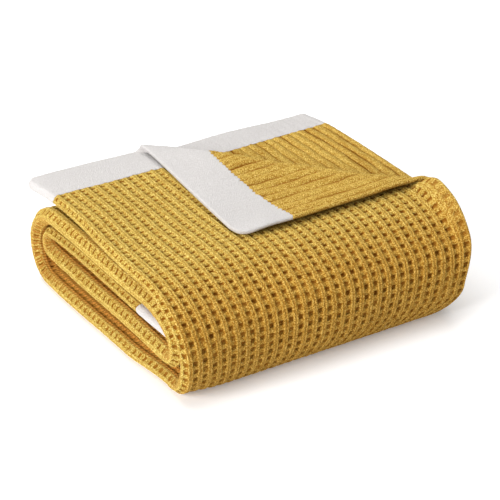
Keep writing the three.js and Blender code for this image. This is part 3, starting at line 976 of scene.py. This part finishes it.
def knit_material(name, crest, tip, unsheened_crest, unsheened_tip, fold_shade, gap_bounce_light, deep, sheen, glow, contrast):
    """Chenille: a colour with painted shade in pits, grooves and folds, painted bounce light in gaps
    and a painted sheen on the top and noses, chevron stitches and a fine pile.
    """
    material = bpy.data.materials.new(name)
    material.use_nodes = True
    tree = material.node_tree
    link = tree.links.new
    shader = tree.nodes["Principled BSDF"]

    def add(kind, **values):
        made = tree.nodes.new(kind)
        row, column = divmod(len(tree.nodes), NODE_COLUMNS)
        made.location = (NODE_FIRST[0] + NODE_STEP[0] * column, NODE_FIRST[1] + NODE_STEP[1] * row)
        for title, value in values.items():
            setattr(made, title, value)
        return made

    def put(socket, value):
        if isinstance(value, bpy.types.NodeSocket):
            link(value, socket)
        elif isinstance(value, tuple):
            socket.default_value = (*value, 1)
        else:
            socket.default_value = value

    def sum_up(operation, *values):
        made = add("ShaderNodeMath", operation=operation)
        for socket, value in zip(made.inputs, values):
            put(socket, value)
        return made.outputs[0]

    def plus(first, second):
        return sum_up("ADD", first, second)

    def minus(first, second):
        return sum_up("SUBTRACT", first, second)

    def times(first, second):
        return sum_up("MULTIPLY", first, second)

    def times_plus(first, second, third):
        return sum_up("MULTIPLY_ADD", first, second, third)

    def from_middle(value):
        return sum_up("ABSOLUTE", minus(sum_up("FRACT", value), 0.5))

    def attribute(title):
        split = add("ShaderNodeSeparateXYZ")
        link(add("ShaderNodeAttribute", attribute_name=title).outputs["Vector"], split.inputs[0])
        return split.outputs

    coords = add("ShaderNodeTexCoord")

    def noise(scale, detail, roughness):
        made = add("ShaderNodeTexNoise")
        put(made.inputs["Scale"], scale)
        put(made.inputs["Detail"], detail)
        put(made.inputs["Roughness"], roughness)
        link(coords.outputs["Object"], made.inputs["Vector"])
        return made.outputs["Fac"]

    def blend(first, second, factor):
        made = add("ShaderNodeMix", data_type="RGBA", clamp_factor=True)
        sockets = [socket for socket in made.inputs if socket.type == "RGBA"]
        put(sockets[0], first)
        put(sockets[1], second)
        link(factor, made.inputs[0])
        return next(socket for socket in made.outputs if socket.type == "RGBA")

    def step(value, start, stop):
        """0 at start and 1 at stop, whichever is the lower."""
        made = add("ShaderNodeMapRange", interpolation_type="SMOOTHSTEP")
        link(value, made.inputs["Value"])
        put(made.inputs["From Min"], min(start, stop))
        put(made.inputs["From Max"], max(start, stop))
        put(made.inputs["To Min"], float(start > stop))
        put(made.inputs["To Max"], float(start < stop))
        return made.outputs[0]

    across, along, fold_shade_and_gap_glow = attribute("knit")
    cell, groove, painted_sheen = attribute("shade")
    tuft = noise(*TUFT_NOISE)
    speck = noise(*SPECK_NOISE)
    ragged = times(minus(tuft, 0.5), RAGGED)

    # Where a place lies in its cell: pits on the waffle side, grooves on the other. Pits, grooves
    # and the wales' seams get painted shade
    to_rib = from_middle(plus(across, 0.5))
    firm = sum_up("MINIMUM", times(cell, PIT_FIRM), 1.0)
    between = times(step(plus(to_rib, ragged), *PIT_SIDES), firm)
    pit = times(step(plus(from_middle(along), ragged), *PIT_ENDS), between)
    slit = times(step(to_rib, *SLIT_SIDES), groove)
    seam = times(step(to_rib, *SEAM_SIDES), cell)
    # A pit's lower part gets painted light where the knit is stretched round the front
    floor = times(step(sum_up("FRACT", along), *PIT_FLOOR), PIT_FLOOR_LIT)
    pit = times(pit, minus(PIT_DARK, times(minus(1.0, painted_sheen), floor)))
    dark = sum_up("MAXIMUM", sum_up("MAXIMUM", pit, slit), times(seam, SEAM_DARK))

    # Chevrons along each wale
    to_point = sum_up("ABSOLUTE", minus(to_rib, CHEVRON_POINT))
    turns = times_plus(to_point, CHEVRON_SLOPE, times(along, CHEVRONS))
    turns = times_plus(tuft, CHEVRON_RAGGED, turns)
    wave = sum_up("SINE", times(turns, 2 * math.pi))

    # Pale tips and deep roots of the pile, with a little painted shade near pits and grooves
    tone = times(minus(tuft, 0.5), TUFT_TONE)
    tone = times_plus(minus(speck, 0.5), SPECK_TONE, tone)
    tone = times_plus(wave, WAVE_TONE, tone)
    tone = times_plus(between, PIT_TONE, tone)
    tone = times_plus(groove, GROOVE_TONE, tone)
    # The painted sheen picks the paler, yellower crest and tip on the top and noses
    ground = blend(unsheened_crest, crest, painted_sheen)
    tipped = blend(ground, blend(unsheened_tip, tip, painted_sheen), step(tone, *TIP_TONES))
    pile = blend(tipped, deep, times(step(tone, *ROOT_TONES), contrast))

    # Where the cloth is squeezed inside a fold, its rows close up into short orange strokes of
    # painted shade, and where it is sunk in the gap behind, its ground gets painted orange bounce
    # light
    stroke_shade = times_plus(tuft, STROKE_RAGGED, times(along, 2 * math.pi * STROKES))
    stroke_shade = times_plus(step(sum_up("SINE", stroke_shade), *STROKE_EDGES), STROKE_MORE, STROKE_LEAST)
    sunk = sum_up("MAXIMUM", minus(fold_shade_and_gap_glow, 1.0), 0.0)
    stroke_shade = times(stroke_shade, sum_up("MINIMUM", fold_shade_and_gap_glow, 1.0))
    pile = blend(blend(pile, gap_bounce_light, sunk), fold_shade, stroke_shade)
    link(blend(pile, deep, dark), shader.inputs["Base Color"])
    put(shader.inputs["Roughness"], ROUGHNESS)
    put(shader.inputs["Specular IOR Level"], SPECULAR)
    put(shader.inputs["Sheen Weight"], sheen)
    put(shader.inputs["Sheen Roughness"], SHEEN_ROUGHNESS)
    put(shader.inputs["Sheen Tint"], glow)

    height = times_plus(wave, WAVE_HEIGHT, tuft)
    height = times_plus(speck, SPECK_HEIGHT, height)
    height = times_plus(seam, SEAM_HEIGHT, height)
    bump = add("ShaderNodeBump")
    put(bump.inputs["Strength"], 1.0)
    put(bump.inputs["Distance"], BUMP_DISTANCE)
    link(height, bump.inputs["Height"])
    link(bump.outputs["Normal"], shader.inputs["Normal"])
    return material


# Of each chenille's colours, crest and tip carry a painted sheen for the top and noses and the next
# two lack it; then painted shade for squeezed folds and painted orange bounce light for the gaps;
# deep is both the pile's own dark roots and the painted shade in pits, grooves and seams
mustard = knit_material(
    "mustard_chenille",
    crest=(0.515, 0.345, 0.058),
    tip=(0.775, 0.615, 0.185),
    unsheened_crest=(0.495, 0.26, 0.032),
    unsheened_tip=(0.765, 0.48, 0.11),
    fold_shade=(0.37, 0.125, 0.015),
    gap_bounce_light=(0.80, 0.35, 0.055),
    deep=(0.27, 0.095, 0.003),
    sheen=0.6,
    glow=(1.0, 0.68, 0.14),
    contrast=0.8,
)
cream = knit_material(
    "cream_chenille",
    crest=(0.585, 0.56, 0.545),
    tip=(0.635, 0.61, 0.595),
    unsheened_crest=(0.585, 0.56, 0.545),
    unsheened_tip=(0.635, 0.61, 0.595),
    fold_shade=(0.58, 0.54, 0.5),
    gap_bounce_light=(0.58, 0.54, 0.5),
    deep=(0.45, 0.41, 0.37),
    sheen=0.1,
    glow=(1, 1, 1),
    contrast=0.12,
)

field_end = CLOTH_LENGTH - END_BAND
outer = field_piece("field_outer", END_BAND, SPLIT_LENGTH, mustard)
inner = field_piece("field_inner", SPLIT_LENGTH, field_end, mustard)
hem_band = band_piece("outer_band", 0.0, END_BAND, RIBBED, cream)
core_band = band_piece("inner_band", field_end, CLOTH_LENGTH, INSIDE, cream)

for piece, slot in (
    (outer, "mustard_knit"),
    (inner, "mustard_knit"),
    (hem_band, "cream_knit"),
    (core_band, "cream_knit"),
):
    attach(piece, "root")
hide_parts("mustard_field")
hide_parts("mustard_field")
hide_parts("outer_end_band")
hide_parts("inner_end_band")

# The floor, plain and pale
FLOOR_HALF = 20.0
floor_mesh = bpy.data.meshes.new("floor")
corners = [(x * FLOOR_HALF, y * FLOOR_HALF, 0.0) for x, y in ((-1, -1), (1, -1), (1, 1), (-1, 1))]
floor_mesh.from_pydata(corners, [], [(0, 1, 2, 3)])
floor = bpy.data.objects.new("floor", floor_mesh)
bpy.context.scene.collection.objects.link(floor)
paper = bpy.data.materials.new("pale_floor")
paper.use_nodes = True
paper_inputs = paper.node_tree.nodes["Principled BSDF"].inputs
paper_inputs["Base Color"].default_value = (0.86, 0.86, 0.865, 1)
paper_inputs["Roughness"].default_value = 0.95
paper_inputs["Specular IOR Level"].default_value = 0.0
paper_inputs["Emission Color"].default_value = (1, 1, 1, 1)
paper_inputs["Emission Strength"].default_value = 0.2
floor_mesh.materials.append(paper)


def area_light(name, place, aim, size, power):
    lamp = bpy.data.lights.new(name, "AREA")
    lamp.shape = "RECTANGLE"
    lamp.size, lamp.size_y = size
    lamp.energy = power
    holder = bpy.data.objects.new(name, lamp)
    holder.location = place
    holder.rotation_mode = "QUATERNION"
    holder.rotation_quaternion = (Vector(aim) - Vector(place)).to_track_quat("-Z", "Y")
    bpy.context.scene.collection.objects.link(holder)


# Soft studio light: a broad lamp above, a smaller one at the left, and a pale world
area_light("key", place=(0.2, 0.5, 2.0), aim=(0, 0, 0.05), size=(2.2, 2.2), power=42)
area_light("left", place=(-2.7, -0.5, 1.2), aim=(0, 0, 0.08), size=(1.5, 1.3), power=98)
WORLD_STRENGTH = 0.31
world = bpy.data.worlds.new("studio")
world.use_nodes = True
world_inputs = world.node_tree.nodes["Background"].inputs
world_inputs["Color"].default_value = (1, 1, 1, 1)
world_inputs["Strength"].default_value = WORLD_STRENGTH
bpy.context.scene.world = world
bpy.context.scene.view_settings.view_transform = "Standard"

back = Vector((
    math.sin(CAMERA_AZIMUTH) * math.cos(CAMERA_ELEVATION),
    -math.cos(CAMERA_AZIMUTH) * math.cos(CAMERA_ELEVATION),
    math.sin(CAMERA_ELEVATION),
))
camera_data = bpy.data.cameras.new("camera")
camera_data.lens = CAMERA_LENS
camera_data.sensor_width = SENSOR_WIDTH
camera_data.clip_end = CLIP_END
camera = bpy.data.objects.new("camera", camera_data)
camera.location = CAMERA_TARGET + back * CAMERA_DISTANCE
camera.rotation_mode = "QUATERNION"
camera.rotation_quaternion = (-back).to_track_quat("-Z", "Y")
bpy.context.scene.collection.objects.link(camera)
bpy.context.scene.camera = camera
